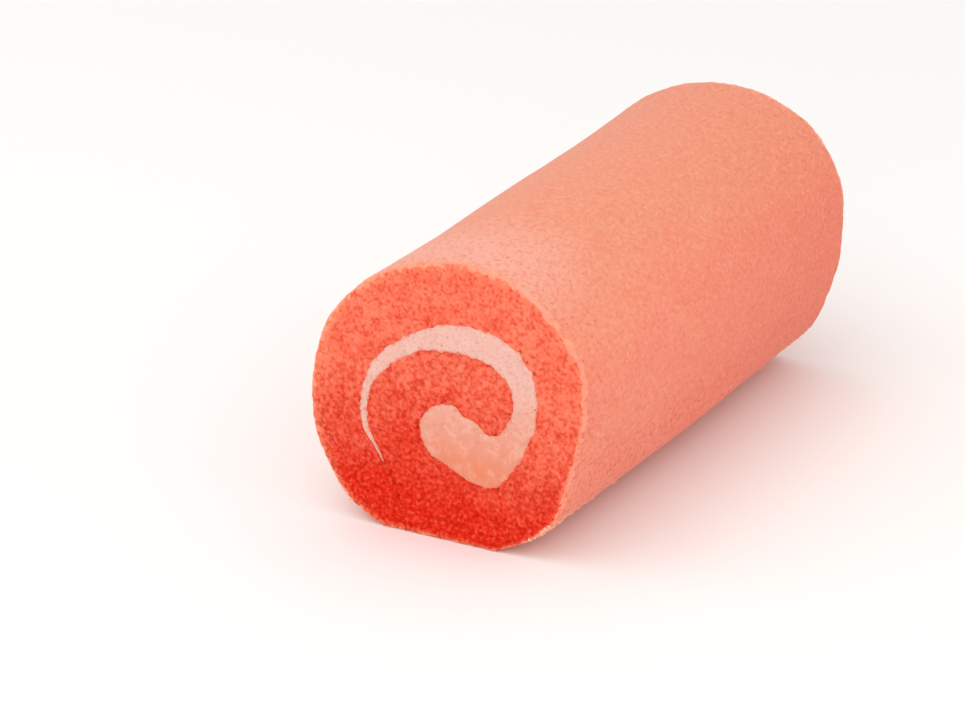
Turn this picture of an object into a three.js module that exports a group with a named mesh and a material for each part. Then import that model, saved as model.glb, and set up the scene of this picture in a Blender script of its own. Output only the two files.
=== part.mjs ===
// Swiss roll cake: one sheet of soft sponge, spread with whipped cream and rolled up, its ends cut square.
//
// The roll lies along Y and rests on a flat base at z = 0. Its sheet starts as a tongue in the middle, passes
// under the thick curl of the cream, climbs the right side, crosses the top and comes down the left side. Its
// outer end is tucked underneath, where the seam opens on the base. The cream fills the seam from the curl to
// a thin tip on the lower left, and runs through the whole length. Millimetres, +Z up.
import * as THREE from "three";

// Driving dimensions
const ROLL_LENGTH = 167;
const CENTRE_HEIGHT = 41.7; // of the roll's middle line above the surface that it rests on
const CREAM_CLEARANCE = 0.3; // between the cream and the sponge, on every side
const SEAM_OPENING = 0.35; // between sponge and sponge, where the cream has run out

// The outer turn of the sheet and the cream inside it: direction from the roll's middle line in degrees,
// anticlockwise from +X as seen from the front, distance to the skin, sponge thickness, cream thickness.
const OUTER_TURN = [
  [-22.5, 41.6, 15.0, 9.0],
  [0, 42.4, 14.2, 7.6],
  [22.5, 45.4, 15.4, 7.9],
  [45, 44.4, 15.2, 9.2],
  [67.5, 43.6, 17.9, 9.0],
  [90, 41.5, 18.6, 7.5],
  [112.5, 40.3, 19.1, 5.4],
  [135, 40.4, 18.9, 4.6],
  [157.5, 41.6, 18.1, 4.2],
  [180, 42.5, 16.6, 2.4],
  [202.5, 45.3, 16.6, 2.0],
  [225, 47.2, 17.8, 0.6],
];

// The skin below the outer turn, in the same terms: its right flank up from the base, and its left flank down
// to the base.
const RIGHT_FLANK = [
  [-69.6, 44.5],
  [-58, 44.7],
  [-48, 45.0],
  [-38, 44.4],
];
const LEFT_FLANK = [
  [235, 47.0],
  [244.4, 46.3],
];

// The cream's thick curl, as x and z from the middle line: its round nose and belly, and on its upper side the
// shoulder behind the nose and the notch where the sheet's tongue presses in.
const NOSE = { x: 0.9, z: -9.3, radius: 8.8 };
const BELLY = { x: 12.0, z: -13.9, radius: 9.0 };
const SHOULDER = [
  [5.4, -2.9],
  [8.4, -3.6],
  [10.4, -4.9],
];
const NOTCH = [
  [12.2, -6.9],
  [14.4, -7.4],
];

// The seam below the cream's tip: where it starts, the point that bends it, and where it meets the base.
const SEAM_START = [-19.4, -22.2];
const SEAM_BEND = [-14.2, -30.5];
const SEAM_FOOT = [-12.6, -CENTRE_HEIGHT];

// How the roll departs from a straight bar along its length
const SIDE_BOW = 1.5; // the middle stands this much further to +X than the ends
const SIDE_SHIFT = -0.8; // of the whole, which centres its footprint on the origin
const BACK_SWELL = 0.01; // share that the back is larger than the front
const WAIST_WAVES = 1.5; // slow waves of thickness along the roll, level at both ends
const WAIST_DEPTH = 0.003; // share of the size that each wave adds and takes

// Faceting
const RINGS_ALONG = 9;
const SKIN_STEPS = 84;
const FILLING_OUTSIDE_STEPS = 74;
const FILLING_INSIDE_STEPS = 76;
const SEAM_STEPS = 7;

// The [x, z] of a point at a direction in degrees and a distance from a centre, by default the middle line.
function polar(degrees, distance, centre = { x: 0, z: 0 }) {
  const angle = THREE.MathUtils.degToRad(degrees);
  return [centre.x + distance * Math.cos(angle), centre.z + distance * Math.sin(angle)];
}

// Stations on a round part of the curl, at the given directions.
function arc(round, directions) {
  return directions.map((degrees) => polar(degrees, round.radius, round));
}

// A smooth line through [x, z] stations, sampled at even steps.
function smoothLine(stations, steps) {
  const points = stations.map(([x, z]) => new THREE.Vector3(x, z, 0));
  const curve = new THREE.CatmullRomCurve3(points, false, "centripetal");
  return curve.getSpacedPoints(steps).map((point) => new THREE.Vector2(point.x, point.y));
}

// The skin's outline from the right edge of the base, over the top, to the left edge of the base.
function skinOutline() {
  const stations = [...RIGHT_FLANK, ...OUTER_TURN, ...LEFT_FLANK];
  const points = stations.map(([degrees, distance]) => polar(degrees, distance));
  const outline = smoothLine(points, SKIN_STEPS);
  outline[0].y = -CENTRE_HEIGHT;
  outline[outline.length - 1].y = -CENTRE_HEIGHT;
  return outline;
}

// The filling's outline, clockwise from the front: from its tip along the outer turn and round under the curl
// to the nose, then back over the curl and along the tongue's side to the tip.
function fillingOutline() {
  const turnSide = OUTER_TURN.map(([degrees, skin, sponge]) => polar(degrees, skin - sponge));
  const tongueSide = OUTER_TURN.map(([degrees, skin, sponge, cream]) => {
    return polar(degrees, skin - sponge - cream);
  });
  const outside = [
    ...turnSide.reverse(),
    ...arc(BELLY, [-22, -50, -80, -108]),
    ...arc(NOSE, [250, 222, 195]),
  ];
  const inside = [
    ...arc(NOSE, [195, 165, 135, 105, 78]),
    ...SHOULDER,
    ...NOTCH,
    ...tongueSide,
  ];
  return [
    ...smoothLine(outside, FILLING_OUTSIDE_STEPS),
    ...smoothLine(inside, FILLING_INSIDE_STEPS).slice(1),
  ];
}

// The seam's middle line, from the cream's tip down to the base.
function seamLine() {
  const corners = [SEAM_START, SEAM_BEND, SEAM_FOOT].map(([x, z]) => new THREE.Vector2(x, z));
  return new THREE.QuadraticBezierCurve(...corners).getSpacedPoints(SEAM_STEPS);
}

// The line moved sideways to its left by the distance; its ends move square to its first and last steps.
function movedLeft(line, distance) {
  return line.map((point, i) => {
    const before = line[Math.max(i - 1, 0)];
    const after = line[Math.min(i + 1, line.length - 1)];
    const along = new THREE.Vector2().subVectors(after, before).normalize();
    return new THREE.Vector2(point.x - along.y * distance, point.y + along.x * distance);
  });
}

// The sponge sheet's section: one closed outline that goes round the skin, up the seam, round the filling's
// place and down the seam's other side.
function spongeSection() {
  const seam = seamLine();
  const left = movedLeft(seam, -SEAM_OPENING / 2);
  const right = movedLeft(seam, SEAM_OPENING / 2);
  left[SEAM_STEPS].y = -CENTRE_HEIGHT;
  right[SEAM_STEPS].y = -CENTRE_HEIGHT;
  const pocket = movedLeft(fillingOutline(), CREAM_CLEARANCE);
  return [...skinOutline(), ...left.reverse(), ...pocket, ...right];
}

// A point of the section, carried to its place along the roll. Heights grow from the base, which stays flat.
function placeInRoll(point, along) {
  const share = along / ROLL_LENGTH + 0.5; // 0 at the front, 1 at the back
  const wave = Math.sin(2 * Math.PI * WAIST_WAVES * share);
  const swell = 1 + BACK_SWELL * share - WAIST_DEPTH * wave;
  const bow = SIDE_BOW * 4 * share * (1 - share);
  return [point.x * swell + bow + SIDE_SHIFT, along, (point.y + CENTRE_HEIGHT) * swell];
}

// A closed solid with the given section, anticlockwise from the front, along the whole roll.
function rolledSolid(section) {
  const outline = THREE.ShapeUtils.isClockWise(section) ? [...section].reverse() : section;
  const count = outline.length;
  const positions = [];
  const faces = [];
  for (let ring = 0; ring <= RINGS_ALONG; ring++) {
    const along = ROLL_LENGTH * (ring / RINGS_ALONG - 0.5);
    outline.forEach((point) => positions.push(...placeInRoll(point, along)));
  }
  for (let ring = 0; ring < RINGS_ALONG; ring++) {
    for (let i = 0; i < count; i++) {
      const a = ring * count + i;
      const b = ring * count + ((i + 1) % count);
      faces.push(a, b + count, b, a, a + count, b + count);
    }
  }
  const backRing = RINGS_ALONG * count;
  for (const [a, b, c] of THREE.ShapeUtils.triangulateShape(outline, [])) {
    faces.push(a, b, c);
    faces.push(backRing + a, backRing + c, backRing + b);
  }
  const geometry = new THREE.BufferGeometry();
  geometry.setAttribute("position", new THREE.Float32BufferAttribute(positions, 3));
  geometry.setIndex(faces);
  geometry.computeVertexNormals();
  return geometry;
}

function makeSponge() {
  const crumb = new THREE.MeshStandardMaterial({ color: 0xf5694f, roughness: 0.95, metalness: 0 });
  const sponge = new THREE.Mesh(rolledSolid(spongeSection()), crumb);
  sponge.name = "sponge";
  return sponge;
}

function makeCream() {
  const cream = new THREE.MeshStandardMaterial({ color: 0xf9c3b2, roughness: 0.6, metalness: 0 });
  const filling = new THREE.Mesh(rolledSolid(fillingOutline()), cream);
  filling.name = "cream_filling";
  return filling;
}

const swissRoll = new THREE.Group();
swissRoll.add(makeSponge(), makeCream());

export default swissRoll;
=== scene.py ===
"""Swiss roll cake: a coral chiffon sponge sheet rolled round whipped cream, dressed for the studio.

The roll's section is drawn in millimetres about its middle line, the same way as the solids are, and swept
along +Y. Everything else here is surface: open crumb on the two cuts, fine skin from the oven round the
outside, smeared cream between them, and the crumbs that cling to both.
"""

import logging
from dataclasses import dataclass
from enum import Enum

import bmesh
import bpy
import numpy as np
from bpy.types import Material, Node, NodeSocket, NodeTree, Object
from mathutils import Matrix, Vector
from mathutils.geometry import delaunay_2d_cdt


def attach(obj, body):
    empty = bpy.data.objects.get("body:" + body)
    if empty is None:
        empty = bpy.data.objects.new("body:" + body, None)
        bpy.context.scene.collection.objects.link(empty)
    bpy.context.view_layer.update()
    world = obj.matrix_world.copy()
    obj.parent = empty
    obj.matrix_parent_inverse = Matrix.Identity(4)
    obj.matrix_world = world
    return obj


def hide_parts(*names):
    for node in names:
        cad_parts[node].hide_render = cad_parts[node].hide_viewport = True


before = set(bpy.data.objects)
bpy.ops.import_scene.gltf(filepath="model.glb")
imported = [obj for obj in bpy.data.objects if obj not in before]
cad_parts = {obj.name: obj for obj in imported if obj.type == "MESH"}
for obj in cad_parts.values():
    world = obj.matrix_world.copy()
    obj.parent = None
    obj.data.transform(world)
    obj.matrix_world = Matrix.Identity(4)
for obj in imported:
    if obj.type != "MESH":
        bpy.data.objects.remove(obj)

Array = np.ndarray
Pair = tuple[float, float]
Triple = tuple[float, float, float]
Rgba = tuple[float, float, float, float]

MILLIMETRE = 0.001  # in metres; every other length is in millimetres unless its name says otherwise
ROLL_LENGTH = 167.0
CENTRE_HEIGHT = 41.7  # of the roll's middle line above its base
FAR = 9.0  # a distance from an edge at which the edge no longer matters
log = logging.getLogger("swiss_roll")


# Colour and nodes


def linear(hex_colour: str) -> Rgba:
    """Turns an sRGB colour into the linear RGBA that the shaders work in.

    Args:
        hex_colour: Six hex digits after a hash, such as "#F4694F".

    Returns:
        Linear red, green and blue, and an alpha of 1.
    """
    parts = [int(hex_colour[i : i + 2], 16) / 255 for i in (1, 3, 5)]
    red, green, blue = [p / 12.92 if p <= 0.04045 else ((p + 0.055) / 1.055) ** 2.4 for p in parts]
    return red, green, blue, 1.0


def add_node(
    tree: NodeTree,
    kind: str,
    settings: dict[str, object] | None = None,
    inputs: dict[str | int, object] | None = None,
) -> Node:
    """Adds one node with its settings, values and links.

    Args:
        tree: The material's node tree.
        kind: Blender's name for the node's type.
        settings: Properties of the node by name.
        inputs: Values or sockets by the input's name or number; a socket is linked.

    Returns:
        The new node.
    """
    node = tree.nodes.new(kind)
    for name, value in (settings or {}).items():
        setattr(node, name, value)
    for name, value in (inputs or {}).items():
        if isinstance(value, NodeSocket):
            tree.links.new(value, node.inputs[name])
        else:
            node.inputs[name].default_value = value
    return node


class MaterialBuilder:
    """Builds one principled material from covers of colour, with patterns sized in real millimetres."""

    def __init__(self, name: str, ground: str, drawn_out: float = 1.0) -> None:
        """Starts a material of one even colour.

        Args:
            name: The material's name.
            ground: That colour.
            drawn_out: How many times longer its patterns are along the roll than across it.
        """
        self.material = bpy.data.materials.new(name)
        self.material.use_nodes = True
        self.tree = self.material.node_tree
        self.tree.nodes.clear()
        self.colour = linear(ground)
        coordinates = add_node(self.tree, "ShaderNodeTexCoord")
        per_mm = (1 / MILLIMETRE, 1 / MILLIMETRE / drawn_out, 1 / MILLIMETRE)
        scale = {0: coordinates.outputs["Object"], 1: per_mm}
        in_mm = add_node(self.tree, "ShaderNodeVectorMath", {"operation": "MULTIPLY"}, scale)
        self.position = in_mm.outputs[0]

    def noise(self, size_mm: float, detail: float = 3.0, roughness: float = 0.55) -> NodeSocket:
        """Gives a soft noise about 0.5, by its largest size and the number and strength of its layers."""
        inputs = {"Vector": self.position, "Scale": 1 / size_mm, "Detail": detail, "Roughness": roughness}
        return add_node(self.tree, "ShaderNodeTexNoise", None, inputs).outputs[0]

    def dots(self, spacing_mm: float, radius_mm: float) -> NodeSocket:
        """Gives a scatter of soft round dots.

        Args:
            spacing_mm: Mean distance from dot to dot.
            radius_mm: Radius at which a dot has faded out.

        Returns:
            1 at the middle of a dot, down to 0 between them.
        """
        inputs = {"Vector": self.position, "Scale": 1 / spacing_mm, "Randomness": 1.0}
        cells = add_node(self.tree, "ShaderNodeTexVoronoi", None, inputs)
        return self.ramp(cells.outputs["Distance"], radius_mm / spacing_mm, 0.2 * radius_mm / spacing_mm)

    def attribute(self, name: str) -> NodeSocket:
        """Gives a number that the mesh keeps at each point."""
        return add_node(self.tree, "ShaderNodeAttribute", {"attribute_name": name}).outputs["Fac"]

    def ramp(
        self, value: NodeSocket, low: float, high: float, start: float = 0.0, end: float = 1.0
    ) -> NodeSocket:
        """Carries a value smoothly from one range to another.

        Args:
            value: What is read.
            low: The value that gives start.
            high: The value that gives end.
            start: The result at or below low.
            end: The result at or above high.

        Returns:
            The carried value.
        """
        inputs = {"Value": value, "From Min": low, "From Max": high, "To Min": start, "To Max": end}
        settings = {"interpolation_type": "SMOOTHSTEP"}
        return add_node(self.tree, "ShaderNodeMapRange", settings, inputs).outputs[0]

    def times(self, a: NodeSocket, b: NodeSocket | float) -> NodeSocket:
        """Multiplies two values."""
        return add_node(self.tree, "ShaderNodeMath", {"operation": "MULTIPLY"}, {0: a, 1: b}).outputs[0]

    def torn_edge(self, size_mm: float, uneven_mm: float, band_mm: Pair, share: float) -> NodeSocket:
        """Gives a band along the edge between two kinds of surface, which fades out unevenly.

        Args:
            size_mm: Size of its ins and outs.
            uneven_mm: How far they go either way.
            band_mm: Distances from the edge at which it starts to fade and has gone.
            share: Its strength at the edge.

        Returns:
            The strength at each place.
        """
        torn = self.ramp(self.noise(size_mm), 0.4, 0.6, -uneven_mm, uneven_mm)
        summed = {0: self.attribute("edge_mm"), 1: torn}
        distance = add_node(self.tree, "ShaderNodeMath", {"operation": "ADD"}, summed).outputs[0]
        return self.ramp(distance, *band_mm, share, 0.0)

    def mix(self, share: NodeSocket, under: NodeSocket | Rgba, over: NodeSocket | Rgba) -> NodeSocket:
        """Gives one colour laid over another, by the share of the upper one that shows."""
        inputs = {0: share, 6: under, 7: over}
        return add_node(self.tree, "ShaderNodeMix", {"data_type": "RGBA"}, inputs).outputs[2]

    def cover(self, over: str | NodeSocket, share: NodeSocket) -> None:
        """Lays a colour over what the material shows so far, by the share of it that shows."""
        self.colour = self.mix(share, self.colour, linear(over) if isinstance(over, str) else over)

    def finish(
        self,
        roughness: float,
        relief: NodeSocket,
        relief_mm: float,
        scatter: float,
        depth_mm: Triple,
        fuzz: float = 0.0,
        gloss: float = 0.25,
    ) -> Material:
        """Closes the material with a principled shader.

        Args:
            roughness: The shader's roughness.
            relief: Height of the finest relief, from 0 to 1.
            relief_mm: Depth of that relief.
            scatter: Share of the light that scatters under the surface.
            depth_mm: How far red, green and blue light travels there.
            fuzz: Strength of the pale sheen that fine fluff gives at a glancing view.
            gloss: Strength of the mirror-like part of the light that it throws back.

        Returns:
            The finished material.
        """
        bump_inputs = {"Strength": 1.0, "Distance": relief_mm * MILLIMETRE, "Height": relief}
        bump = add_node(self.tree, "ShaderNodeBump", None, bump_inputs)
        inputs = {
            "Base Color": self.colour,
            "Roughness": roughness,
            "IOR": 1.4,
            "Specular IOR Level": gloss,
            "Subsurface Weight": scatter,
            "Subsurface Radius": depth_mm,
            "Subsurface Scale": MILLIMETRE,
            "Sheen Weight": fuzz,
            "Sheen Roughness": 0.6,
            "Normal": bump.outputs[0],
        }
        shader = add_node(self.tree, "ShaderNodeBsdfPrincipled", None, inputs)
        add_node(self.tree, "ShaderNodeOutputMaterial", None, {"Surface": shader.outputs[0]})
        return self.material


@dataclass(frozen=True)
class ChiffonCrumb:
    """Cut chiffon sponge, dyed red: dried open crumb, with coral painted highlight on its crests and red
    painted shade in its hollows.
    """

    crumb: str = "#F36E52"
    blush: str = "#F67F63"
    crest: str = "#FB9379"
    hollow: str = "#DC3A22"
    deep: str = "#E22207"
    pore: str = "#BC1605"
    crust: str = "#F68764"
    rim: str = "#FFA584"
    frayed: str = "#FFC9AA"
    patch_mm: float = 7.0
    mottle_mm: float = 1.12
    clump_mm: float = 1.8
    crust_mm: Pair = (1.0, 5.5)
    rim_mm: Pair = (0.38, 1.9)

    def material(self) -> Material:
        """Builds the crumb: blotches, a close mottle with painted highlight on its crests and painted shade
        in its hollows, painted shade in its pores and a paler crust.

        Returns:
            The finished material.
        """
        build = MaterialBuilder("chiffon_crumb", self.crumb)
        build.cover(self.blush, build.ramp(build.noise(self.patch_mm), 0.35, 0.65))
        moist_and_shade = build.attribute("moist_and_shade")
        # Deeper red where the crumb is moister, with painted shade low down and inside the turn
        build.cover(self.deep, build.times(moist_and_shade, 0.85))
        # Painted highlight on the crests and painted shade in the hollows of the noise that also gives the
        # bump
        mottle = build.noise(self.mottle_mm, detail=2.0, roughness=0.5)
        crests = build.times(build.ramp(mottle, 0.5, 0.68), build.ramp(moist_and_shade, 0.0, 1.0, 0.45, 0.22))
        build.cover(self.crest, crests)
        build.cover(self.crust, build.ramp(build.attribute("edge_mm"), *self.crust_mm, 0.6, 0.0))
        shade = build.mix(moist_and_shade, linear(self.hollow), linear(self.pore))
        hollows = build.times(build.ramp(mottle, 0.49, 0.34), build.ramp(moist_and_shade, 0.0, 0.4, 0.55, 0.65))
        build.cover(shade, hollows)
        clumps = build.noise(self.clump_mm, detail=2.0, roughness=0.5)
        build.cover(shade, build.times(build.ramp(clumps, 0.5, 0.36), build.ramp(moist_and_shade, 0.0, 0.5, 0.05, 0.5)))
        # Painted shade in the pores and in the gaps by the cream, by how deep each point lies in them
        build.cover(self.pore, build.ramp(build.attribute("pore"), 0.0, 0.9, 0.0, 0.6))
        build.cover(self.rim, build.torn_edge(2.0, 0.9, self.rim_mm, share=0.8))
        build.cover(self.frayed, build.attribute("frayed"))
        return build.finish(0.92, mottle, relief_mm=0.16, scatter=0.1, depth_mm=(2.0, 0.6, 0.4), gloss=0.08)


@dataclass(frozen=True)
class ChiffonSkin:
    """The sheet's skin from the oven, peeled off its paper: matt salmon with a sandy grain, blotches and
    freckles.
    """

    skin: str = "#F48567"
    warm: str = "#F58E6E"
    rosy: str = "#F38F7C"
    # Next three are painted light: shade at the back and low right, a paler top, a highlight at the top left
    back_and_right_shade: str = "#E86C4F"
    top_highlight: str = "#DF9370"
    top_left_highlight: str = "#F6C0B4"
    shade: str = "#E5664A"
    glint: str = "#FAB29C"
    pit: str = "#D84C30"
    rim: str = "#FFAB92"
    frayed: str = "#FFC9AA"
    drawn_out: float = 1.25
    blotch_mm: float = 14.0
    rosy_mm: float = 5.0
    grain_mm: float = 1.2
    freckle_mm: float = 1.8
    freckle_radius_mm: float = 0.65
    rim_mm: Pair = (0.0, 2.4)

    def material(self) -> Material:
        """Builds the skin: slow blotches, painted shade and highlights by place, a sandy grain, freckles,
        painted shade in its pits, and a paler edge at the cuts.

        Returns:
            The finished material.
        """
        build = MaterialBuilder("chiffon_skin", self.skin, self.drawn_out)
        build.cover(self.warm, build.ramp(build.noise(self.blotch_mm), 0.35, 0.65))
        build.cover(self.rosy, build.ramp(build.noise(self.rosy_mm), 0.45, 0.7, 0.0, 0.6))
        # Painted shade at the back and low right; painted highlight on the top and at the top left front
        for tone, name in ((self.back_and_right_shade, "back_and_right_shade"), (self.top_highlight, "top_highlight"), (self.top_left_highlight, "top_left_highlight")):
            build.cover(tone, build.attribute(name))
        grain = build.noise(self.grain_mm, detail=2.0, roughness=0.6)
        low_down = build.ramp(build.attribute("moist_and_shade"), 0.0, 0.6, 0.4, 1.0)
        build.cover(self.shade, build.times(build.ramp(grain, 0.5, 0.32), low_down))
        build.cover(self.glint, build.ramp(grain, 0.52, 0.7, 0.0, 0.25))
        near_cut = build.ramp(build.attribute("edge_mm"), 3.0, 60.0, 0.55, 0.1)
        many = build.times(near_cut, build.ramp(build.noise(4.0), 0.35, 0.6, 0.2, 1.0))
        build.cover(self.pit, build.times(build.dots(self.freckle_mm, self.freckle_radius_mm), many))
        # Painted shade in the skin's pits, by their depth; the freckles above are the skin's own colour
        build.cover(self.pit, build.ramp(build.attribute("pore"), 0.2, 0.9, 0.0, 0.45))
        build.cover(self.rim, build.torn_edge(2.0, 1.3, self.rim_mm, share=0.5))
        build.cover(self.frayed, build.attribute("frayed"))
        return build.finish(0.8, grain, relief_mm=0.05, scatter=0.1, depth_mm=(2.0, 0.7, 0.4), fuzz=0.15)


@dataclass(frozen=True)
class WhippedCream:
    """Whipped cream, tinted by the dye: soft, matt and nearly even, with faint streaks from the knife."""

    cream: str = "#EAB8AB"
    curl: str = "#E7845E"
    streak: str = "#F8CFC0"
    dimple: str = "#DC9078"
    bubble: str = "#C47A60"
    stain: str = "#F0937A"
    streak_mm: float = 3.5
    dimple_mm: float = 0.9
    bubble_mm: float = 3.6
    bubble_radius_mm: float = 0.5
    stain_mm: Pair = (0.0, 1.0)

    def material(self) -> Material:
        """Builds the cream: paler at the top of the turn, more peach in the curl, partly its tint and partly
        painted shade, stained along the crumb.

        Returns:
            The finished material.
        """
        build = MaterialBuilder("whipped_cream", self.cream)
        # More peach low in the curl: partly the cream's own tint, partly painted shade
        build.cover(self.curl, build.attribute("curl"))
        streaks = build.noise(self.streak_mm, detail=3.0, roughness=0.6)
        build.cover(self.streak, build.ramp(streaks, 0.4, 0.7, 0.0, 0.3))
        dimples = build.noise(self.dimple_mm, detail=2.0, roughness=0.6)
        # Painted shade where the same noise that gives the bump is low
        build.cover(self.dimple, build.ramp(dimples, 0.5, 0.34, 0.0, 0.5))
        some = build.ramp(build.noise(5.0), 0.45, 0.6, 0.0, 0.7)
        build.cover(self.bubble, build.times(build.dots(self.bubble_mm, self.bubble_radius_mm), some))
        # Painted shade in the bubbles' hollows, by their depth
        build.cover(self.bubble, build.ramp(build.attribute("pore"), 0.2, 0.8, 0.0, 0.6))
        build.cover(self.stain, build.torn_edge(1.6, 0.5, self.stain_mm, share=0.65))
        return build.finish(0.6, dimples, relief_mm=0.08, scatter=0.2, depth_mm=(3.0, 1.6, 1.2))


@dataclass(frozen=True)
class TableLacquer:
    """White lacquered table top: plain, with the faintest clouds, so that only shadow and bounce show."""

    white: str = "#F7F6F4"
    milky: str = "#F9F8F7"
    cloud_mm: float = 900.0
    ripple_mm: float = 30.0

    def material(self) -> Material:
        """Builds the plain white floor.

        Returns:
            The finished material.
        """
        build = MaterialBuilder("table_lacquer", self.white)
        build.cover(self.milky, build.ramp(build.noise(self.cloud_mm), 0.3, 0.7))
        ripple = build.noise(self.ripple_mm)
        return build.finish(0.7, ripple, relief_mm=0.001, scatter=0.0, depth_mm=(1.0, 1.0, 1.0))


# Fields over points


def fade(values: Array, none: float, full: float) -> Array:
    """Gives how far each value has come from the mark of 0 to the mark of 1, which may lie either way."""
    return np.clip((values - none) / (full - none), 0, 1)


def scramble(cells: Array, seed: int) -> Array:
    """Gives each whole-number cell its own even random number.

    Args:
        cells: Whole numbers, with three in the last axis.
        seed: Picks one of many such fields.

    Returns:
        Numbers from 0 to 1, one for each cell.
    """
    primes = np.array([73856093, 19349663, 83492791], np.uint64)
    mixed = np.bitwise_xor.reduce(cells.astype(np.uint64) * primes, axis=-1) + np.uint64(seed * 9176 + 1013)
    low_bits = np.uint64(0xFFFFFFFF)
    for shift, factor in ((16, 0x45D9F3B), (15, 0x2C1B3C6D), (16, 0x297A2D39)):
        mixed = ((mixed ^ (mixed >> np.uint64(shift))) * np.uint64(factor)) & low_bits
    return mixed.astype(float) / float(low_bits)


def soft_noise(points: Array, size: float, seed: int, layers: int = 1) -> Array:
    """Gives smooth noise from -1 to 1.

    Args:
        points: Positions, three to a row.
        size: Size of the largest blotches.
        seed: Picks one of many such fields.
        layers: Number of layers, each half as large and half as strong.

    Returns:
        One number for each point.
    """
    total, weight = np.zeros(len(points)), 0.0
    for layer in range(layers):
        scaled = points * (2**layer / size) + 1000.5
        cell = np.floor(scaled).astype(np.int64)
        part = scaled - cell
        part = part * part * (3 - 2 * part)
        value = np.zeros(len(points))
        for corner in np.ndindex(2, 2, 2):
            step = np.array(corner)
            share = np.prod(np.where(step == 1, part, 1 - part), axis=1)
            value += share * scramble(cell + step, seed + layer)
        total += (value * 2 - 1) * 0.5**layer
        weight += 0.5**layer
    return total / weight


def rough(points: Array, relief: Pair, seed: int, layers: int = 1) -> Array:
    """Gives the height of a soft relief at each point, by its greatest height and the size of its lumps."""
    height, size = relief
    return height * soft_noise(points, size, seed, layers)


def pore_field(
    points: Array, spacing: float, radii: Pair, seed: int, share: float, grain: Array | None = None
) -> Array:
    """Gives how deep each point lies in a scatter of pores.

    Args:
        points: Positions, three to a row.
        spacing: Mean distance from pore to pore.
        radii: Smallest and largest radius of a pore.
        seed: Picks one of many such scatters.
        share: Share of the places that hold a pore.
        grain: Unit direction in which the pores are drawn out, for each point; they are round without it.

    Returns:
        0 outside every pore, up to 1 at the middle of one.
    """
    scaled = points / spacing + 1000.0
    cell = np.floor(scaled).astype(np.int64)
    depth = np.zeros(len(points))
    for corner in np.ndindex(3, 3, 3):
        place = cell + np.array(corner) - 1
        centre = place + 0.15 + 0.7 * np.stack([scramble(place, seed + k) for k in range(3)], axis=1)
        radius = radii[0] + (radii[1] - radii[0]) * scramble(place, seed + 3) ** 2
        there = scramble(place, seed + 4) < share
        away = (scaled - centre) * spacing
        square = (away**2).sum(1)
        if grain is not None:
            square -= 0.6 * (away * grain).sum(1) ** 2
        reach = np.where(there, np.clip(1 - np.sqrt(np.maximum(square, 0)) / radius, 0, 1), 0)
        depth = np.maximum(depth, reach * (2 - reach))
    return depth


# Lines and the roll's form


class Side(Enum):
    """The two cut ends of the roll, by the way that each faces along Y."""

    FRONT = -1
    BACK = 1

    @property
    def ring(self) -> int:
        """The cut's place in a list that runs from front to back."""
        return 0 if self is Side.FRONT else -1


def smooth_line(stations: Array, spacing: float, fineness: int = 40) -> Array:
    """Draws a smooth line through stations and samples it evenly.

    Args:
        stations: Points in order, two numbers to a row.
        spacing: Largest distance between samples.
        fineness: Number of steps between two stations before that.

    Returns:
        The samples, from the first station to the last.
    """
    ends = 2 * stations[0] - stations[1], 2 * stations[-1] - stations[-2]
    line = np.vstack([ends[0], stations, ends[1]])
    steps = np.linspace(0, 1, fineness, endpoint=False)[:, None]
    dense = []
    for a, b, c, d in zip(line, line[1:], line[2:], line[3:]):
        first, middle, last = [np.sqrt(np.linalg.norm(q - p)) for p, q in ((a, b), (b, c), (c, d))]
        leave = ((b - a) / first - (c - a) / (first + middle) + (c - b) / middle) * middle
        arrive = ((c - b) / middle - (d - b) / (middle + last) + (d - c) / last) * middle
        cubic = 2 * b - 2 * c + leave + arrive
        square = -3 * b + 3 * c - 2 * leave - arrive
        dense.append(b + leave * steps + square * steps**2 + cubic * steps**3)
    return resample(np.vstack([*dense, stations[-1:]]), spacing)


def resample(line: Array, spacing: float) -> Array:
    """Samples a line of straight steps evenly.

    Args:
        line: The points between the steps, two numbers to a row.
        spacing: Largest distance between samples.

    Returns:
        The samples, from the first point to the last.
    """
    run = np.concatenate([[0], np.cumsum(np.linalg.norm(np.diff(line, axis=0), axis=1))])
    marks = np.linspace(0, run[-1], max(int(np.ceil(run[-1] / spacing)), 1) + 1)
    return np.stack([np.interp(marks, run, line[:, k]) for k in range(2)], axis=1)


def left_of(line: Array) -> Array:
    """Gives the unit direction to the left of a line at each of its points."""
    along = np.gradient(line, axis=0)
    return np.stack([-along[:, 1], along[:, 0]], axis=1) / np.linalg.norm(along, axis=1, keepdims=True)


def polar(degrees: Array | tuple[float, ...], distance: Array | float, centre: Pair = (0.0, 0.0)) -> Array:
    """Gives the points in the given directions at the given distances from a centre, two numbers to a row."""
    turn = np.radians(degrees)
    return np.stack([np.cos(turn), np.sin(turn)], axis=1) * np.reshape(distance, (-1, 1)) + centre


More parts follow.
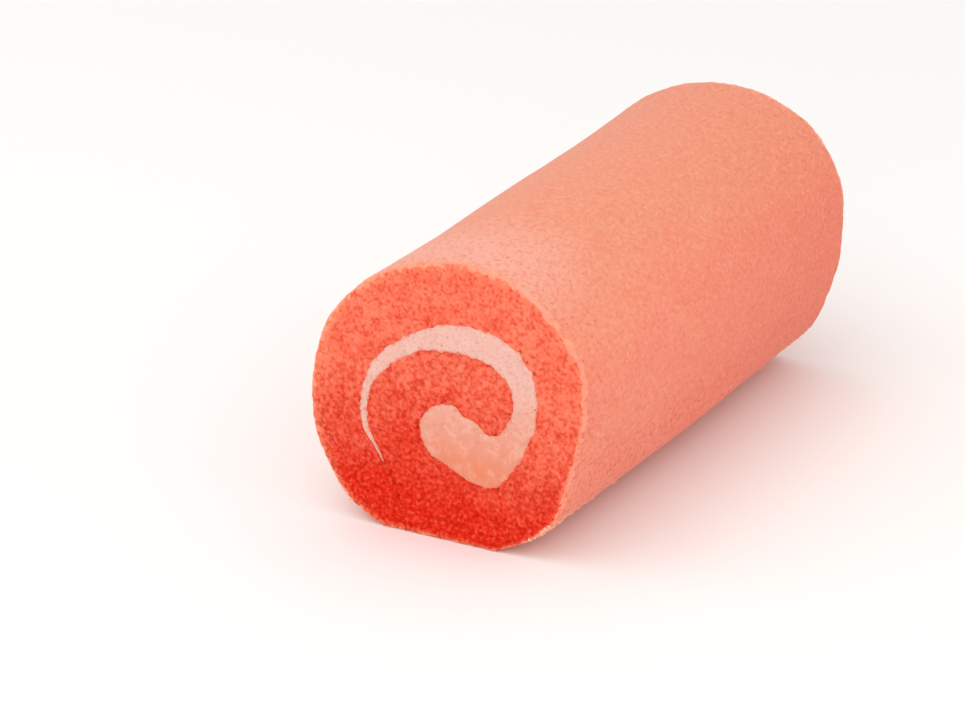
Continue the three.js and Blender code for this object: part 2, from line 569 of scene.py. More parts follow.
@dataclass(frozen=True)
class RollSection:
    """The section across the roll, as x and z from its middle line."""

    seam_opening: float = 0.12
    # Direction in degrees, distance to the skin, thickness of the sponge, thickness of the cream
    outer_turn: tuple[tuple[float, float, float, float], ...] = (
        (-22.5, 41.6, 15.0, 9.0),
        (0, 42.4, 14.2, 7.6),
        (22.5, 45.4, 15.4, 7.9),
        (45, 44.4, 15.2, 9.2),
        (67.5, 43.6, 17.9, 9.0),
        (90, 41.5, 18.6, 7.5),
        (112.5, 40.3, 19.1, 5.4),
        (135, 40.4, 18.9, 4.6),
        (157.5, 41.6, 18.1, 4.2),
        (180, 42.5, 16.6, 2.4),
        (202.5, 45.3, 16.6, 2.0),
        (225, 47.2, 17.8, 0.6),
    )
    right_flank: tuple[Pair, ...] = ((-69.6, 44.5), (-58, 44.7), (-48, 45.0), (-38, 44.4))
    left_flank: tuple[Pair, ...] = ((235, 47.0), (244.4, 46.3))
    nose: Triple = (0.9, -9.3, 8.8)
    belly: Triple = (12.0, -13.9, 9.0)
    shoulder: tuple[Pair, ...] = ((5.4, -2.9), (8.4, -3.6), (10.4, -4.9))
    notch: tuple[Pair, ...] = ((12.2, -6.9), (14.4, -7.4))
    seam_start: Pair = (-19.4, -22.2)
    seam_bend: Pair = (-14.2, -30.5)
    seam_foot: Pair = (-12.6, -CENTRE_HEIGHT)
    seam_steps: int = 60

    def seam(self, spacing: float) -> Array:
        """Draws the seam's middle line.

        Args:
            spacing: Largest distance between its points.

        Returns:
            The line, from the cream's tip down to the base.
        """
        t = np.linspace(0, 1, self.seam_steps)[:, None]
        curve = (1 - t) ** 2 * self.seam_start + 2 * t * (1 - t) * self.seam_bend + t**2 * self.seam_foot
        return resample(curve, spacing)

    def outside(self, spacing: float) -> Array:
        """Draws the skin and both parts of the base.

        Args:
            spacing: Largest distance between the line's points.

        Returns:
            The line, from the seam's right lip round to its left lip.
        """
        rows = (*self.right_flank, *self.outer_turn, *self.left_flank)
        skin = smooth_line(polar(*np.transpose([row[:2] for row in rows])), spacing)
        skin[[0, -1], 1] = -CENTRE_HEIGHT
        half = np.array([self.seam_opening / 2, 0.0])
        right = resample(np.vstack([self.seam_foot + half, skin[0]]), spacing)
        left = resample(np.vstack([skin[-1], self.seam_foot - half]), spacing)
        return np.vstack([right[:-1], skin, left[1:]])

    def filling(self, spacing: float) -> Array:
        """Draws the cream's outline.

        Args:
            spacing: Largest distance between its points.

        Returns:
            The line, from the tip over the top, round under the curl and back to the tip.
        """
        turn, skin, sponge, cream = np.transpose(self.outer_turn)
        turn_side, tongue_side = polar(turn, skin - sponge), polar(turn, skin - sponge - cream)
        belly = polar((-22, -50, -80, -108), self.belly[2], self.belly[:2])
        under_nose = polar((250, 222, 195), self.nose[2], self.nose[:2])
        over_nose = polar((195, 165, 135, 105, 78), self.nose[2], self.nose[:2])
        outward = smooth_line(np.vstack([turn_side[::-1], belly, under_nose]), spacing)
        inward = smooth_line(np.vstack([over_nose, self.shoulder, self.notch, tongue_side]), spacing)
        return np.vstack([outward, inward[1:]])


@dataclass(frozen=True)
class RollSweep:
    """How the section runs along the roll: its slight bow, swell and waves, and the fuller back end."""

    half: float = ROLL_LENGTH / 2
    side_bow: float = 1.5
    side_shift: float = -0.8
    back_swell: float = 0.01
    waist_waves: float = 1.5
    waist_depth: float = 0.003
    back_full: float = 1.4
    full_turns: tuple[float, ...] = (45.0, -17.0)
    full_spread: float = 15.0
    full_from: float = 0.45
    ring_growth: float = 0.06

    def fullness(self, section: Array, share: Array) -> Array:
        """Gives how far the back end bulges out on its upper and lower right, where the roll is looser.

        Args:
            section: The points' x and z from the middle line.
            share: Their place along the roll, from 0 at the front to 1 at the back.

        Returns:
            The way outward of each point, as x and z.
        """
        turn = np.degrees(np.arctan2(section[:, 1], section[:, 0]))
        lobes = sum(np.exp(-(((turn - middle) / self.full_spread) ** 2)) for middle in self.full_turns)
        outward = section * np.hypot(*section.T)[:, None] / CENTRE_HEIGHT**2
        return self.back_full * outward * (lobes * fade(share, self.full_from, 1.0) ** 2)[:, None]

    def place(self, section: Array, along: Array | float) -> Array:
        """Carries points of the section to their places along the roll.

        Args:
            section: The points' x and z from the middle line.
            along: Their y, from minus half the roll's length to half of it, or one y for all.

        Returns:
            The points in the row's frame.
        """
        along = np.zeros(len(section)) + along
        share = along / (2 * self.half) + 0.5
        swell = 1 + self.back_swell * share - self.waist_depth * np.sin(2 * np.pi * self.waist_waves * share)
        full = self.fullness(section, share)
        x = section[:, 0] * swell + self.side_bow * 4 * share * (1 - share) + self.side_shift + full[:, 0]
        z = np.maximum((section[:, 1] + CENTRE_HEIGHT) * swell + full[:, 1], 0.0)
        return np.stack([x, along, z], axis=1)

    def loft(self, lines: list[Array], stations: Array) -> Array:
        """Carries each line of the section to its station and stacks their points."""
        return np.vstack([self.place(line, along) for line, along in zip(lines, stations)])

    def rings(self, finest: float, coarsest: float) -> Array:
        """Spaces out the stations along the roll.

        Args:
            finest: Distance between stations at the cuts.
            coarsest: Largest distance between stations farther in.

        Returns:
            The stations, from the front cut to the back cut.
        """
        gaps, reach = [], 0.0
        while reach < self.half:
            gaps.append(min(finest + self.ring_growth * reach, coarsest))
            reach += gaps[-1]
        run = np.concatenate([[0], np.cumsum(gaps)]) * (self.half / reach)
        return np.concatenate([run - self.half, self.half - run[-2::-1]])


# Meshes

BATCH = 4000  # points that are compared with a whole line at a time
ROW_RISE = 0.866  # height of an even triangle, as a share of its side
JITTER = 0.22  # of a filled outline's inner points, as a share of their spacing
CLEARANCE = 0.62  # least distance from such a point to the outline, as a share of their spacing
SHARP_DEGREES = 60.0  # edges that turn more than this aren't shaded smooth


def batches(points: Array) -> list[Array]:
    """Splits points into batches that are small enough to compare with a whole line."""
    return np.array_split(points, max(len(points) // BATCH, 1))


def fill_outline(outline: Array, spacing: float, seed: int) -> tuple[Array, Array]:
    """Fills an outline with small even triangles.

    Args:
        outline: The outline's points in order, without the first repeated.
        spacing: Distance between the inner points.
        seed: Picks the jitter of the inner points.

    Returns:
        The points, the outline's first, and the triangles, which run anticlockwise.
    """
    rng = np.random.default_rng(seed)
    low, high = outline.min(0), outline.max(0)
    rows = np.arange(low[1], high[1], spacing * ROW_RISE)
    columns = np.arange(low[0], high[0], spacing)
    grid = np.stack(np.meshgrid(columns, rows), axis=-1)
    grid[1::2, :, 0] += spacing / 2
    grid = grid.reshape(-1, 2)
    grid += rng.uniform(-JITTER, JITTER, grid.shape) * spacing
    following = np.roll(outline, -1, axis=0)
    kept = []
    for part in batches(grid):
        x, z = part[:, :1], part[:, 1:]
        spans = (outline[:, 1] > z) != (following[:, 1] > z)
        rise = np.where(following[:, 1] == outline[:, 1], 1.0, following[:, 1] - outline[:, 1])
        crossing = outline[:, 0] + (z - outline[:, 1]) / rise * (following[:, 0] - outline[:, 0])
        inside = (spans & (x < crossing)).sum(1) % 2 == 1
        clear = np.hypot(x - outline[:, 0], z - outline[:, 1]).min(1) > spacing * CLEARANCE
        kept.append(part[inside & clear])
    points = np.vstack([outline, *kept])
    border = [list(range(len(outline)))]
    result = delaunay_2d_cdt([Vector(p) for p in points], [], border, 1, 1e-7, True)
    order = [ids[0] for ids in result[3]]
    triangles = np.array([[order[i] for i in face] for face, source in zip(result[2], result[5]) if source])
    a, b, c = [points[triangles[:, k]] for k in range(3)]
    turn = (b[:, 0] - a[:, 0]) * (c[:, 1] - a[:, 1]) - (b[:, 1] - a[:, 1]) * (c[:, 0] - a[:, 0])
    triangles[turn < 0] = triangles[turn < 0][:, ::-1]
    return points, triangles


def fill_cut(
    side: Side, outline: Array, names: Array, first: int, spacing: float, seed: int
) -> tuple[Array, Array]:
    """Fills the outline of a cut with triangles that face out of the roll.

    Args:
        side: Which cut it is.
        outline: The outline's points.
        names: The indices of those points in the piece's mesh.
        first: The index that the first new point gets there.
        spacing: Distance between the new points.
        seed: Picks their jitter.

    Returns:
        The new points, and the triangles by index in the piece's mesh.
    """
    filled, triangles = fill_outline(outline, spacing, seed + side.ring)
    inner = filled[len(outline) :]
    names = np.concatenate([names, first + np.arange(len(inner))])
    return inner, names[triangles if side is Side.FRONT else triangles[:, ::-1]]


def nearest(points: Array, line: Array) -> tuple[Array, Array]:
    """Finds the point of a line that is nearest to each point.

    Args:
        points: The points, two numbers to a row.
        line: The line's points, likewise.

    Returns:
        The distance of the nearest one, and its place in the line.
    """
    distances, indices = [], []
    for part in batches(points):
        apart = np.hypot(part[:, :1] - line[:, 0], part[:, 1:] - line[:, 1])
        indices.append(apart.argmin(1))
        distances.append(apart.min(1))
    return np.concatenate(distances), np.concatenate(indices)


def stitch(left: Array, right: Array, left_y: Array, right_y: Array) -> list[tuple[int, ...]]:
    """Joins two columns of points of different number with triangles.

    Args:
        left: Indices of the points on one side, front to back.
        right: Indices of the points on the other side, front to back.
        left_y: Where the points of the left column lie along the roll.
        right_y: Where the points of the right column lie along the roll.

    Returns:
        The triangles, which face the same way as left to right turns on to front to back.
    """
    triangles, i, j = [], 0, 0
    while i < len(left) - 1 or j < len(right) - 1:
        if j == len(right) - 1 or (i < len(left) - 1 and left_y[i + 1] <= right_y[j + 1]):
            triangles.append((left[i], right[j], left[i + 1]))
            i += 1
        else:
            triangles.append((left[i], right[j], right[j + 1]))
            j += 1
    return triangles


def quads(columns: Array) -> Array:
    """Joins a table of point indices, one row for each ring, into quads."""
    near, far = columns[:-1], columns[1:]
    return np.stack([near[:, :-1], far[:, :-1], far[:, 1:], near[:, 1:]], axis=-1).reshape(-1, 4)


def add_object(name: str, data: bpy.types.ID) -> Object:
    """Adds an object to the scene.

    Args:
        name: Its name.
        data: Its mesh, lamp or camera.

    Returns:
        The object.
    """
    added = bpy.data.objects.new(name, data)
    bpy.context.collection.objects.link(added)
    return added


def make_piece(
    name: str, points: Array, faces: list[tuple[Material, Array]], attributes: dict[str, Array]
) -> Object:
    """Makes a smooth-shaded mesh object.

    Args:
        name: The piece's name.
        points: Its points.
        faces: Tables of faces, each with its material; a row holds a face's points.
        attributes: Numbers that the mesh keeps at each point, by name.

    Returns:
        The object, at the origin.
    """
    mesh = bpy.data.meshes.new(name)
    rows = [row for _, table in faces for row in table.tolist()]
    mesh.from_pydata((points * MILLIMETRE).tolist(), [], rows)
    materials = list(dict.fromkeys(material for material, _ in faces))
    for material in materials:
        mesh.materials.append(material)
    slots = np.concatenate([np.full(len(table), materials.index(material)) for material, table in faces])
    mesh.polygons.foreach_set("material_index", slots.astype(np.int32))
    mesh.polygons.foreach_set("use_smooth", np.ones(len(rows), bool))
    for key, values in attributes.items():
        mesh.attributes.new(key, "FLOAT", "POINT").data.foreach_set("value", values.astype(np.float32))
    mesh.update()
    mesh.set_sharp_from_angle(angle=np.radians(SHARP_DEGREES))
    log.info("%s: %d points, %d faces", name, len(points), len(rows))
    return add_object(name, mesh)


# The pieces


def saw_swell(points: Array, relief: Pair = (0.35, 24.0)) -> Array:
    """Gives the slow swell that the knife left across a whole cut, crumb and cream alike."""
    return rough(points, relief, seed=31)


@dataclass(frozen=True)
class CrumbRelief:
    """The open crumb of a cut: a slow saw-mark swell, clumps, close fine pores and a few larger ones."""

    # Height and size of each soft relief
    bend: Pair = (0.45, 1.7)
    clump: Pair = (0.3, 2.2)
    grain: Pair = (0.2, 0.9)
    fine_pore: float = 0.26
    fine_spacing: float = 1.6
    fine_radii: Pair = (0.4, 0.8)
    large_pore: float = 0.45
    large_spacing: float = 6.0
    large_radii: Pair = (0.4, 0.9)
    rim_round: float = 0.7
    rim_reach: float = 1.6
    gap: float = 0.5
    gap_belt: Pair = (1.8, 0.8)

    def heights(self, points: Array, to_skin: Array, to_cream: Array) -> tuple[Array, Array]:
        """Gives the crumb's relief at points of a cut, with small gaps where it meets the cream.

        Args:
            points: The points in the row's frame.
            to_skin: Their distances from the skin.
            to_cream: Their distances from the cream.

        Returns:
            The height of each point above the mean cut, and how deep it lies in a pore.
        """
        outward = points * np.array([1, 0, 1]) - np.array([0, 0, CENTRE_HEIGHT])
        outward /= np.maximum(np.linalg.norm(outward, axis=1, keepdims=True), 1.0)
        around = outward[:, [2, 1, 0]] * np.array([-1, 0, 1])
        bent = points + np.stack([rough(points, self.bend, seed) for seed in (5, 6, 7)], axis=1)
        fine = pore_field(bent, self.fine_spacing, self.fine_radii, seed=11, share=0.8, grain=around)
        fine *= np.clip(0.6 + rough(points, (0.8, 4.0), seed=19), 0.1, 1)
        large = pore_field(bent, self.large_spacing, self.large_radii, seed=23, share=0.3, grain=around)
        height = rough(bent, self.clump, seed=37) + rough(bent, self.grain, seed=41)
        height -= self.fine_pore * fine + self.large_pore * large
        height *= np.clip(to_cream / 1.2, 0.25, 1)
        height += saw_swell(points) - self.rim_round * fade(to_skin, self.rim_reach, 0.0) ** 2
        gaps = fade(soft_noise(points, 1.1, seed=43), 0.3, 0.55) * fade(to_cream, *self.gap_belt)
        height -= self.gap * gaps
        return height, np.maximum.reduce([fine * 0.65, large, gaps])


@dataclass(frozen=True)
class SkinRelief:
    """The skin from the oven: slow lumps, a fine grain, pits near the cuts and creases at the top left front.
    """

    # Height and size of each soft relief
    lump: Pair = (0.3, 26.0)
    grain: Pair = (0.05, 1.6)
    fray: Pair = (0.5, 1.7)
    fray_belt: float = 1.8
    pit: float = 0.15
    pit_spacing: float = 3.0
    pit_radii: Pair = (0.35, 0.7)
    pit_belt: float = 16.0
    crease: float = 0.12
    crease_gap: float = 2.3
    crease_waver: Pair = (2.2, 9.0)

    def heights(self, points: Array, to_cut: Array) -> tuple[Array, Array]:
        """Gives the skin's relief.

        Args:
            points: The points in the row's frame.
            to_cut: Their distances from the nearer cut.

        Returns:
            The height of each point above the mean skin, and how deep it lies in a pit.
        """
        drawn_out = points * np.array([1, 0.6, 1])
        pits = pore_field(drawn_out, self.pit_spacing, self.pit_radii, seed=51, share=0.45)
        crowded = 1.1 * np.exp(-to_cut / self.pit_belt) - 0.05
        pits *= np.clip(rough(points, (0.5, 14.0), seed=53) + crowded, 0, 1)
        height = rough(points, self.lump, seed=61, layers=2) + rough(points, self.grain, seed=67, layers=2)
        height -= self.pit * pits
        waves = 2 * np.pi / self.crease_gap * (points[:, 1] + rough(points, self.crease_waver, seed=71))
        height += self.crease * np.sin(waves) * self.crease_and_highlight(points)
        height += rough(points, self.fray, seed=73, layers=2) * np.exp(-to_cut / self.fray_belt)
        return height, pits

    def crease_and_highlight(self, points: Array) -> Array:
        """Gives where the skin is creased and painted with a paler highlight, from 0 to 1: at the top left
        behind the front cut.
        """
        behind_cut = fade(points[:, 1], -ROLL_LENGTH / 2, 4 - ROLL_LENGTH / 2) * fade(points[:, 1], -40, -66)
        return behind_cut * fade(points[:, 2] - 0.4 * points[:, 0], 55, 75)


@dataclass
class RolledSponge:
    """The sponge sheet, rolled once: skin outside, cut crumb at both ends, and the walls of the slot."""

    section: RollSection
    sweep: RollSweep
    crumb: Material
    skin_relief: SkinRelief = SkinRelief()
    crumb_relief: CrumbRelief = CrumbRelief()
    skin_step: float = 0.75
    finest_ring: float = 0.35
    wall_step: float = 0.45
    cut_step: float = 0.34
    wall_rings: int = 9
    slot_clearance: float = 0.04
    ragged: Pair = (0.55, 1.5)
    edge_draw: float = 0.5
    edge_reach: float = 1.6
    crumb_bits: float = 0.3
    bits_height: float = 8.0
    bits_spread: float = 2.8
    bits_reach: float = 24.0
    cut_sunk: float = 0.25
    cut_reach: float = 2.5

    def cream_line(self, along: float, spread: float = 0.0) -> Array:
        """Gives the line where crumb and cream meet, a little frayed.

        Args:
            along: Its place along the roll.
            spread: How far the line lies outside that, where the knife has dragged cream over the crumb.

        Returns:
            The line, from the cream's tip over the top and round the curl back to the tip.
        """
        line = self.section.filling(self.wall_step)
        points = np.stack([line[:, 0], np.full(len(line), along), line[:, 1]], axis=1)
        from_tip = np.linalg.norm(line - line[0], axis=1)
        outward = rough(points, self.ragged, seed=81, layers=2) + spread
        return line + left_of(line) * (outward * np.clip(from_tip / 14.0, 0.02, 1))[:, None]

    def slot_walls(self, along: float) -> Array:
        """Draws the slot's outline between the seam's lips.

        Args:
            along: Its place along the roll.

        Returns:
            The line, up the seam, round the cream and down again.
        """
        seam = self.section.seam(self.wall_step)
        half = left_of(seam) * self.section.seam_opening / 2
        filling = self.cream_line(along)
        pocket = filling + left_of(filling) * self.slot_clearance
        return np.vstack([(seam - half)[::-1][1:], pocket, (seam + half)[:-1]])

    def rounding(self, to_edge: Array, height: Array) -> Array:
        """Gives how far points near the soft edge between skin and cut are drawn in; less near the base."""
        return self.edge_draw * fade(to_edge, self.edge_reach, 0.0) ** 2 * np.clip(height / 5, 0.3, 1)

    def draw_in(self, points: Array, outside: Array) -> Array:
        """Moves points of a cut inward near the skin, to follow its soft edge."""
        gap, closest = nearest(points, outside)
        return points + left_of(outside)[closest] * self.rounding(gap, points[:, 1] + CENTRE_HEIGHT)[:, None]

    def tones(self, points: Array) -> dict[str, Array]:
        """Gives where the crumb is moister and painted with shade, and where the skin is painted with shade
        and highlights.

        Args:
            points: The points in the row's frame.

        Returns:
            The four by name, from 0 to about 1: a moister crumb with painted shade on the left and inside,
                most where
            the weight rests; painted shade toward the back and low on the right; a paler, less red painted
            highlight along the top; and a pale painted highlight at the top left front.
        """
        x, y, z = points.T
        # The first mask is partly a moister crumb and partly painted shade, deepest low down and inside
        low = 0.85 * fade(z, 48.0, 8.0) + 0.3 * fade(z, 23.0, 11.0)
        inner = 0.24 * fade(np.hypot(x, z - CENTRE_HEIGHT), 30.0, 16.0)
        left = 0.1 * fade(x, -8.0, -28.0) * np.clip((76.0 - z) / 30.0, 0, 1.7)
        fold = 0.25 * np.exp(-(((x + 10.0) / 13.0) ** 2) - ((z - 24.0) / 11.0) ** 2)
        uneven = rough(points, (0.15, 9.0), seed=87)
        return {
            "moist_and_shade": np.clip(low + inner + left + fold + uneven, 0, 1.1),
            # Painted shade at the back and low right; painted highlight on the top and at the top left front
            "back_and_right_shade": 0.5 * fade(y, -40.0, 70.0) + 0.3 * fade(x, 5.0, 35.0) * fade(z, 70.0, 20.0),
            "top_highlight": 0.6 * fade(z, 55.0, 79.0),
            "top_left_highlight": 0.35 * self.skin_relief.crease_and_highlight(points),
        }

    def thinness(self, section: Array) -> Array:
        """Gives how thin the crust shows in a cut: 1 where it is thickest, upper left, up to 3 opposite."""
        rightward = (section[:, 0] * 0.85 - section[:, 1] * 0.53) / np.maximum(np.hypot(*section.T), 1.0)
        return 1.0 + np.clip(0.8 + 1.6 * rightward, 0, 2)

    def fraying(self, points: Array) -> Array:
        """Scatters pale torn crumbs low on the flanks, mostly near the cuts.

        Args:
            points: The points in the row's frame.

        Returns:
            How much such a crumb stands out at each point, from 0 to 1.
        """
        to_cut = self.sweep.half - np.abs(points[:, 1])
        from_belt = (points[:, 2] - self.bits_height) / self.bits_spread
        belt = np.exp(-(from_belt**2) - to_cut / self.bits_reach)
        return belt * np.clip(rough(points, (3.0, 1.5), seed=77, layers=2) - 0.5, 0, 1)

    def skin(self, outside: Array, rings: Array) -> tuple[Array, Array, Array]:
        """Lofts the outside, lifted by the skin's relief.

        Args:
            outside: The section's outside.
            rings: The stations along the roll.

        Returns:
            The points ring by ring, how deep each lies in a pit, and its distance from the nearer cut.
        """
        flat, inward = [np.tile(table, (len(rings), 1)) for table in (outside, left_of(outside))]
        along = np.repeat(rings, len(outside))
        to_cut = self.sweep.half - np.abs(along)
        base = self.sweep.place(flat, along)
        lift, pits = self.skin_relief.heights(base, to_cut)
        lift += self.crumb_bits * self.fraying(base)
        sink = self.rounding(to_cut, base[:, 2]) - lift * fade(base[:, 2], 0.0, 3.0)
        return self.sweep.place(flat + inward * sink[:, None], along), pits, to_cut

    def build(self) -> Object:
        """Builds the sponge.

        Returns:
            The piece, which rides on the root and stands for the node "sponge".
        """
        # The outside, and the slot's walls between the lips of the seam
        outside = self.section.outside(self.skin_step)
        rings = self.sweep.rings(self.finest_ring, self.skin_step)
        skin, pits, to_cut = self.skin(outside, rings)
        stations = np.linspace(rings[0], rings[-1], self.wall_rings)
        lines = [self.slot_walls(along) for along in stations]
        for side in Side:
            lines[side.ring] = self.draw_in(lines[side.ring], outside)
        wall = self.sweep.loft(lines, stations)
        skin_table = np.arange(len(skin)).reshape(len(rings), -1)
        wall_table = len(skin) + np.arange(len(wall)).reshape(len(stations), -1)
        lips = stitch(skin_table[:, -1], wall_table[:, 0], rings, stations)
        lips += stitch(wall_table[:, -1], skin_table[:, 0], stations, rings)
        triangles = [np.array(lips)[:, ::-1]]

        # Each patch's points, how deep they lie in a pore, and their distances from the edge and the cream
        zeros = np.zeros(len(wall))
        patches = [(skin, pits, to_cut, np.full(len(skin), FAR)), (wall, zeros, zeros + FAR, zeros)]
        count = len(skin) + len(wall)
        for side in Side:
            outline = np.vstack([outside, self.slot_walls(side.value * self.sweep.half)])
            names = np.concatenate([skin_table[side.ring], wall_table[side.ring]])
            inner, crumb_triangles = fill_cut(side, outline, names, count, self.cut_step, seed=7)
            placed = self.sweep.place(self.draw_in(inner, outside), side.value * self.sweep.half)
            to_skin, to_cream = [nearest(inner, line)[0] for line in (outside, lines[side.ring])]
            patches.append((placed, np.zeros(len(inner)), to_skin * self.thinness(inner), to_cream))
            triangles.append(crumb_triangles)
            count += len(inner)
        points, pore, edge, to_cream = [np.concatenate(column) for column in zip(*patches)]

        # The cuts' relief pushes their points along Y, and fades out over the first of the skin and the walls
        on_skin = np.arange(count) < len(skin)
        at_cut = fade(self.sweep.half - np.abs(points[:, 1]), self.cut_reach, 0.0)
        near = at_cut > 0
        to_skin = np.where(on_skin, 0.0, edge)
        height, pores = self.crumb_relief.heights(points[near], to_skin[near], to_cream[near])
        points[near, 1] += np.sign(points[near, 1]) * (height - self.cut_sunk) * at_cut[near]
        pore[near] = np.where(on_skin[near], pore[near], pores)

        faces = [(ChiffonSkin().material(), quads(skin_table)), (self.crumb, quads(wall_table))]
        faces.append((self.crumb, np.vstack(triangles)))
        frayed = self.fraying(points) * np.where(on_skin, 1.0, fade(edge, 1.5, 0.5))
        attributes = {"pore": pore, "edge_mm": edge, "frayed": frayed} | self.tones(points)
        piece = make_piece("rolled_sponge", points, faces, attributes)
        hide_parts("sponge")
        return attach(piece, "root")


@dataclass
class CreamFilling:
    """The whipped cream: a thick curl that thins into a long tail, cut flush with the sponge at both ends."""

    section: RollSection
    sweep: RollSweep
    sponge: RolledSponge
    cut_step: float = 0.42
    rings: int = 9
    smear: Pair = (0.16, 5.0)
    grain: Pair = (0.07, 0.9)
    bubble: float = 0.3
    bubble_spacing: float = 3.6
    bubble_radii: Pair = (0.3, 0.6)
    dragged: float = 0.4
    thinned: float = 0.3
    cut_sunk: float = 0.15

    def build(self) -> Object:
        """Builds the cream.

        Returns:
            The piece, which rides on the root and stands for the node "cream_filling".
        """
        half = self.sweep.half
        stations = np.linspace(-half, half, self.rings)
        spreads = np.zeros(self.rings)
        spreads[[0, -1]] = self.dragged
        tail = self.section.seam_start
        lines = [np.vstack([self.sponge.cream_line(*place), tail]) for place in zip(stations, spreads)]
        wall = self.sweep.loft(lines, stations)
        table = np.arange(len(wall)).reshape(self.rings, -1)
        patches, triangles, count = [(wall, np.zeros(len(wall)))], [], len(wall)
        for side in Side:
            outline, names = lines[side.ring][::-1], table[side.ring][::-1]
            inner, cream_triangles = fill_cut(side, outline, names, count, self.cut_step, seed=17)
            patches.append((self.sweep.place(inner, side.value * half), nearest(inner, outline)[0]))
            triangles.append(cream_triangles)
            count += len(inner)
        points, edge = [np.concatenate(column) for column in zip(*patches)]

        # The knife's marks push the cuts' points along Y
        at_cut = np.abs(points[:, 1]) > half - 0.01
        cut_points, reach = points[at_cut], edge[at_cut]
        bubbles = pore_field(cut_points, self.bubble_spacing, self.bubble_radii, seed=91, share=0.35)
        height = rough(cut_points, self.smear, seed=93, layers=2) - self.bubble * bubbles
        height *= np.clip(reach, 0.1, 1)
        height += rough(cut_points, self.grain, seed=97, layers=2) + saw_swell(cut_points)
        height -= self.thinned * fade(reach, 2 * self.dragged, 0.0)
        points[at_cut, 1] += np.sign(cut_points[:, 1]) * (height - self.cut_sunk)

        pore = np.zeros(count)
        pore[at_cut] = bubbles
        # Where the cream is more peach: partly its own tint, partly painted shade low in the curl
        curl = fade(points[:, 2], 52.0, 20.0) * fade(points[:, 0], -18.0, -10.0)
        cream = WhippedCream().material()
        closed = np.hstack([table, table[:, :1]])
        faces = [(cream, quads(closed)[:, ::-1]), (cream, np.vstack(triangles))]
        attributes = {"pore": pore, "edge_mm": edge, "curl": curl}
        piece = make_piece("whipped_cream_filling", points, faces, attributes)
        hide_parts("cream_filling")
        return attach(piece, "root")


@dataclass
class LooseCrumbs:
    """Crumbs off the sponge: pale ones that cling low on the skin, and moister, deeper red ones on the
    cream's border.
    """

    section: RollSection
    sweep: RollSweep
    crumb: Material
    on_skin: int = 420
    on_cream: int = 50
    belt_height: float = 8.2
    belt_spread: float = 1.5
    belt_reach: float = 9.0
    border_spread: float = 0.6
    skin_radii: Pair = (0.25, 0.75)
    cream_radii: Pair = (0.2, 0.5)
    flattest: float = 0.65
    lumpy: Pair = (0.3, 0.9)
    sunk: float = 0.35
    seed: int = 101

    def skin_spots(self, rng: np.random.Generator) -> Array:
        """Draws places low on both flanks, most of them close to a cut.

        Args:
            rng: The source of random numbers.

        Returns:
            One place to a row.
        """
        outside = self.section.outside(0.25)
        flanks = {flank: outside[(outside[:, 0] * flank > 0) & (outside[:, 1] < -25)] for flank in (-1, 1)}
        spots = []
        for flank, end in zip(rng.choice([-1, 1, 1], self.on_skin), rng.choice([-1, -1, 1], self.on_skin)):
            height = rng.normal(self.belt_height, self.belt_spread) - CENTRE_HEIGHT
            line = flanks[flank]
            spots.append([*line[np.abs(line[:, 1] - height).argmin()], end])
        places = np.array(spots)
        from_cut = rng.exponential(self.belt_reach, self.on_skin) % self.sweep.half
        return self.sweep.place(places[:, :2], places[:, 2] * (self.sweep.half - from_cut))

    def cream_spots(self, rng: np.random.Generator, border: Array) -> Array:
        """Draws places on both cuts, just inside the cream's border.

        Args:
            rng: The source of random numbers.
            border: The line where crumb and cream meet.

        Returns:
            One place to a row.
        """
        picked = rng.integers(30, len(border) - 30, self.on_cream)
        inside = np.abs(rng.normal(0.0, self.border_spread, self.on_cream)) + 0.1
        flat = border[picked] - left_of(border)[picked] * inside[:, None]
        return self.sweep.place(flat, rng.choice([-1, 1], self.on_cream) * self.sweep.half)

    def lump(self) -> tuple[Array, Array]:
        """Makes a ball with a radius of 1, from which each crumb is shaped.

        Returns:
            Its points and its triangles.
        """
        ball = bmesh.new()
        bmesh.ops.create_icosphere(ball, subdivisions=2, radius=1.0)
        ball.verts.index_update()
        points = np.array([corner.co[:] for corner in ball.verts])
        triangles = np.array([[corner.index for corner in face.verts] for face in ball.faces])
        ball.free()
        return points, triangles

    def build(self, sponge: Object, cream: Object, border: Array) -> Object:
        """Builds all crumbs as one piece, each a small closed lump sunk a little into what carries it.

        Args:
            sponge: The sponge, which carries the pale crumbs.
            cream: The cream, which carries the moist ones.
            border: The line where crumb and cream meet.

        Returns:
            The piece, which rides on the root.
        """
        rng = np.random.default_rng(self.seed)
        lump, sides = self.lump()
        bpy.context.view_layer.update()
        points, faces, pale = [], [], []
        groups = (
            (sponge, self.skin_spots(rng), self.skin_radii, 0.75),
            (cream, self.cream_spots(rng, border), self.cream_radii, 0.3),
        )
        for carrier, spots, radii, paleness in groups:
            for spot in spots:
                _, surface, normal, _ = carrier.closest_point_on_mesh(Vector(spot) * MILLIMETRE)
                radius = radii[0] + (radii[1] - radii[0]) * rng.random() ** 2
                shape = lump * rng.uniform(self.flattest, 1.0, 3)
                shape *= 1 + rough(lump + 7.0 * len(points), self.lumpy, seed=103)[:, None]
                centre = np.array(surface) / MILLIMETRE - self.sunk * radius * np.array(normal)
                faces.append(sides + len(lump) * len(points))
                points.append(centre + shape * radius)
                pale.append(np.full(len(lump), paleness))
        everything, frayed = np.vstack(points), np.concatenate(pale)
        everything[:, 2] = np.maximum(everything[:, 2], 0.0)
        zeros = np.zeros(len(everything))
        attributes = {"pore": zeros, "edge_mm": zeros + FAR, "moist_and_shade": 0.6 * (1.0 - frayed), "frayed": frayed}
        piece = make_piece("loose_crumbs", everything, [(self.crumb, np.vstack(faces))], attributes)
        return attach(piece, "root")


# The studio


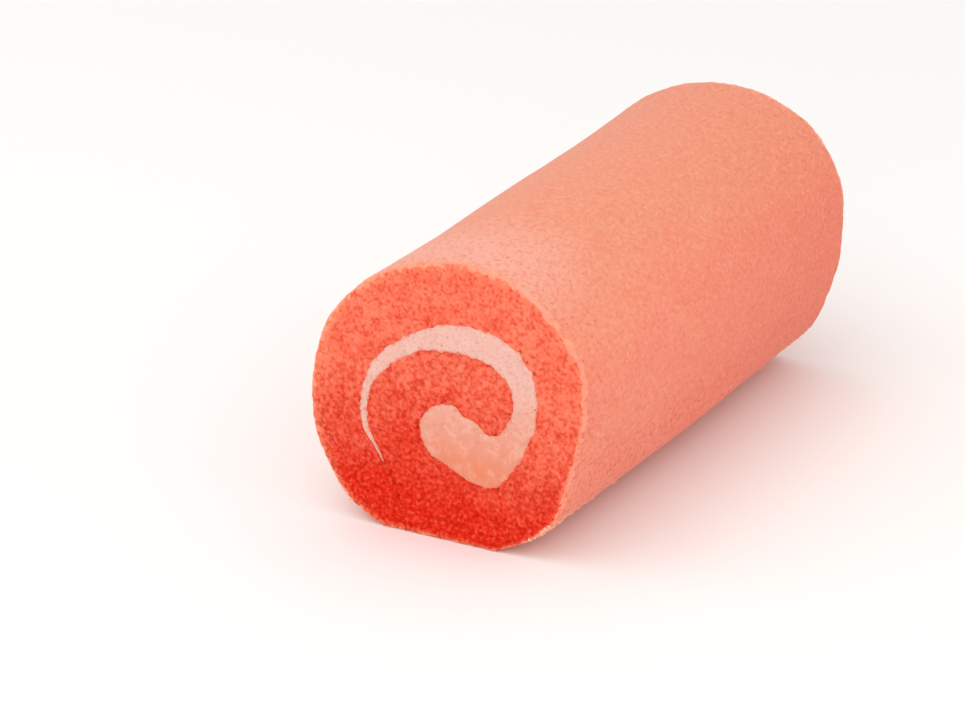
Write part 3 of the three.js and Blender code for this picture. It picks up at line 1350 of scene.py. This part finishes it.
@dataclass(frozen=True)
class SoftBox:
    """A square soft lamp that faces the roll; its place, side and aim are in metres."""

    name: str
    place: Triple
    side: float
    watts: float
    tint: str
    aim: Triple = (0.0, 0.0, 0.04)

    def build(self) -> None:
        """Hangs the lamp."""
        data = bpy.data.lights.new(self.name, "AREA")
        data.size = self.side
        data.energy = self.watts
        data.color = linear(self.tint)[:3]
        lamp = add_object(self.name, data)
        lamp.location = self.place
        lamp.rotation_euler = (Vector(self.aim) - lamp.location).to_track_quat("-Z", "Y").to_euler()


@dataclass(frozen=True)
class Studio:
    """A white sweep under soft daylight, and a long lens that looks down on the roll's front cut."""

    azimuth: float = 28.68
    elevation: float = 22.54
    place_mm: Triple = (614.97, -1187.39, 578.35)
    lens_mm: float = 186.5
    sensor_mm: float = 36.0
    sky: str = "#FFFFFF"
    sky_strength: float = 0.79
    floor_reach: float = 4.0
    lamps: tuple[SoftBox, ...] = (
        SoftBox("window", (-0.28, -0.45, 1.4), 1.4, 7.0, "#FFFDFA"),
        SoftBox("front_reflector", (0.6, -1.3, 0.75), 1.2, 4.2, "#FFFFFF"),
        SoftBox("side_reflector", (1.0, 0.15, 0.85), 0.8, 1.1, "#FFF0E2"),
    )

    def camera(self) -> None:
        """Sets up the scene's camera."""
        data = bpy.data.cameras.new("long_lens")
        data.lens = self.lens_mm
        data.sensor_width = self.sensor_mm
        data.sensor_fit = "HORIZONTAL"
        data.clip_end = 50.0
        camera = add_object("long_lens", data)
        camera.location = Vector(self.place_mm) * MILLIMETRE
        camera.rotation_euler = np.radians((90.0 - self.elevation, 0.0, self.azimuth))
        bpy.context.scene.camera = camera

    def floor(self) -> None:
        """Lays the white floor."""
        mesh = bpy.data.meshes.new("white_floor")
        corners = ((-1, -1), (1, -1), (1, 1), (-1, 1))
        points = [(self.floor_reach * x, self.floor_reach * y, 0) for x, y in corners]
        mesh.from_pydata(points, [], [(0, 1, 2, 3)])
        mesh.materials.append(TableLacquer().material())
        floor = add_object("white_floor", mesh)

    def build(self) -> None:
        """Builds the floor, the light and the camera."""
        scene = bpy.context.scene
        scene.view_settings.view_transform = "Standard"
        scene.world = bpy.data.worlds.new("white_studio")
        scene.world.use_nodes = True
        background = scene.world.node_tree.nodes["Background"]
        background.inputs[0].default_value = linear(self.sky)
        background.inputs[1].default_value = self.sky_strength
        self.floor()
        for lamp in self.lamps:
            lamp.build()
        self.camera()


def main() -> None:
    """Builds the studio, the sponge, the cream and the crumbs."""
    logging.basicConfig(level=logging.INFO, format="%(name)s: %(message)s")
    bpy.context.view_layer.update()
    Studio().build()
    section, sweep = RollSection(), RollSweep()
    crumb = ChiffonCrumb().material()
    sponge = RolledSponge(section, sweep, crumb)
    rolled = sponge.build()
    cream = CreamFilling(section, sweep, sponge).build()
    LooseCrumbs(section, sweep, crumb).build(rolled, cream, sponge.cream_line(-sweep.half))


if __name__ == "__main__":
    main()
